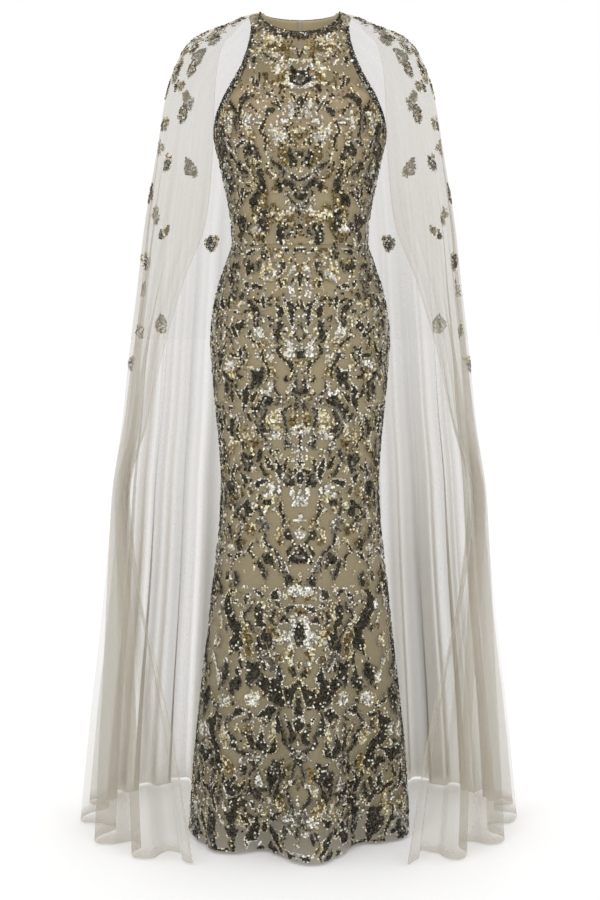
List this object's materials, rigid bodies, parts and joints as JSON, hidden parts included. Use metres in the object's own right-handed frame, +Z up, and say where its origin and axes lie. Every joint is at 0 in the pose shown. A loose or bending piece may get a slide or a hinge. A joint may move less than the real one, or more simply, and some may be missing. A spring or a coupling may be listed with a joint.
{
  "type": "cape-sleeve gown",
  "caption": "Floor-length halter gown of sequinned net over a lining, with a sheer tulle cape falling over each arm to the floor.",
  "frame": {"origin": "midway between the shoulders, level with the highest point of the neck edge, where the wearer carries the gown", "axes": "+Z up, -Y to the wearer's front, +X to the viewer's right seen from the front"},
  "size_m": [0.8434, 0.5135, 1.5181],
  "materials": {
    "sequinned_net": "sequins in charcoal, bronze and champagne on beige net",
    "lining": "khaki beige lining, soft sheen",
    "beaded_trim": "close dark pewter beads",
    "tulle": "sheer warm grey tulle",
    "zip_tape": "woven tape",
    "zip_metal": "satin pewter"
  },
  "bodies": {
    "gown": {"bodice_front": "sequinned_net", "bodice_back_left": "sequinned_net", "bodice_back_right": "sequinned_net", "bodice_lining_front": "lining", "bodice_lining_back_left": "lining", "bodice_lining_back_right": "lining", "neck_band_front": "beaded_trim", "neck_band_back_left": "beaded_trim", "neck_band_back_right": "beaded_trim", "armhole_binding_front_left": "beaded_trim", "armhole_binding_front_right": "beaded_trim", "armhole_binding_back_left": "beaded_trim", "armhole_binding_back_right": "beaded_trim", "skirt_front": "sequinned_net", "skirt_back_left": "sequinned_net", "skirt_back_right": "sequinned_net", "skirt_lining_front": "lining", "skirt_lining_back_left": "lining", "skirt_lining_back_right": "lining", "cape_left": "tulle", "cape_right": "tulle", "zip_coil": "zip_tape", "zip_slider": "zip_metal"},
    "pull": {"zip_pull": "zip_metal"}
  },
  "joints": [
    {"name": "zip_pull_swing", "type": "hinge", "parent": "gown", "child": "pull", "pos_m": [0, 0.07705, -0.03592], "axis": [1, 0, 0], "range_deg": [0, 150]}
  ]
}
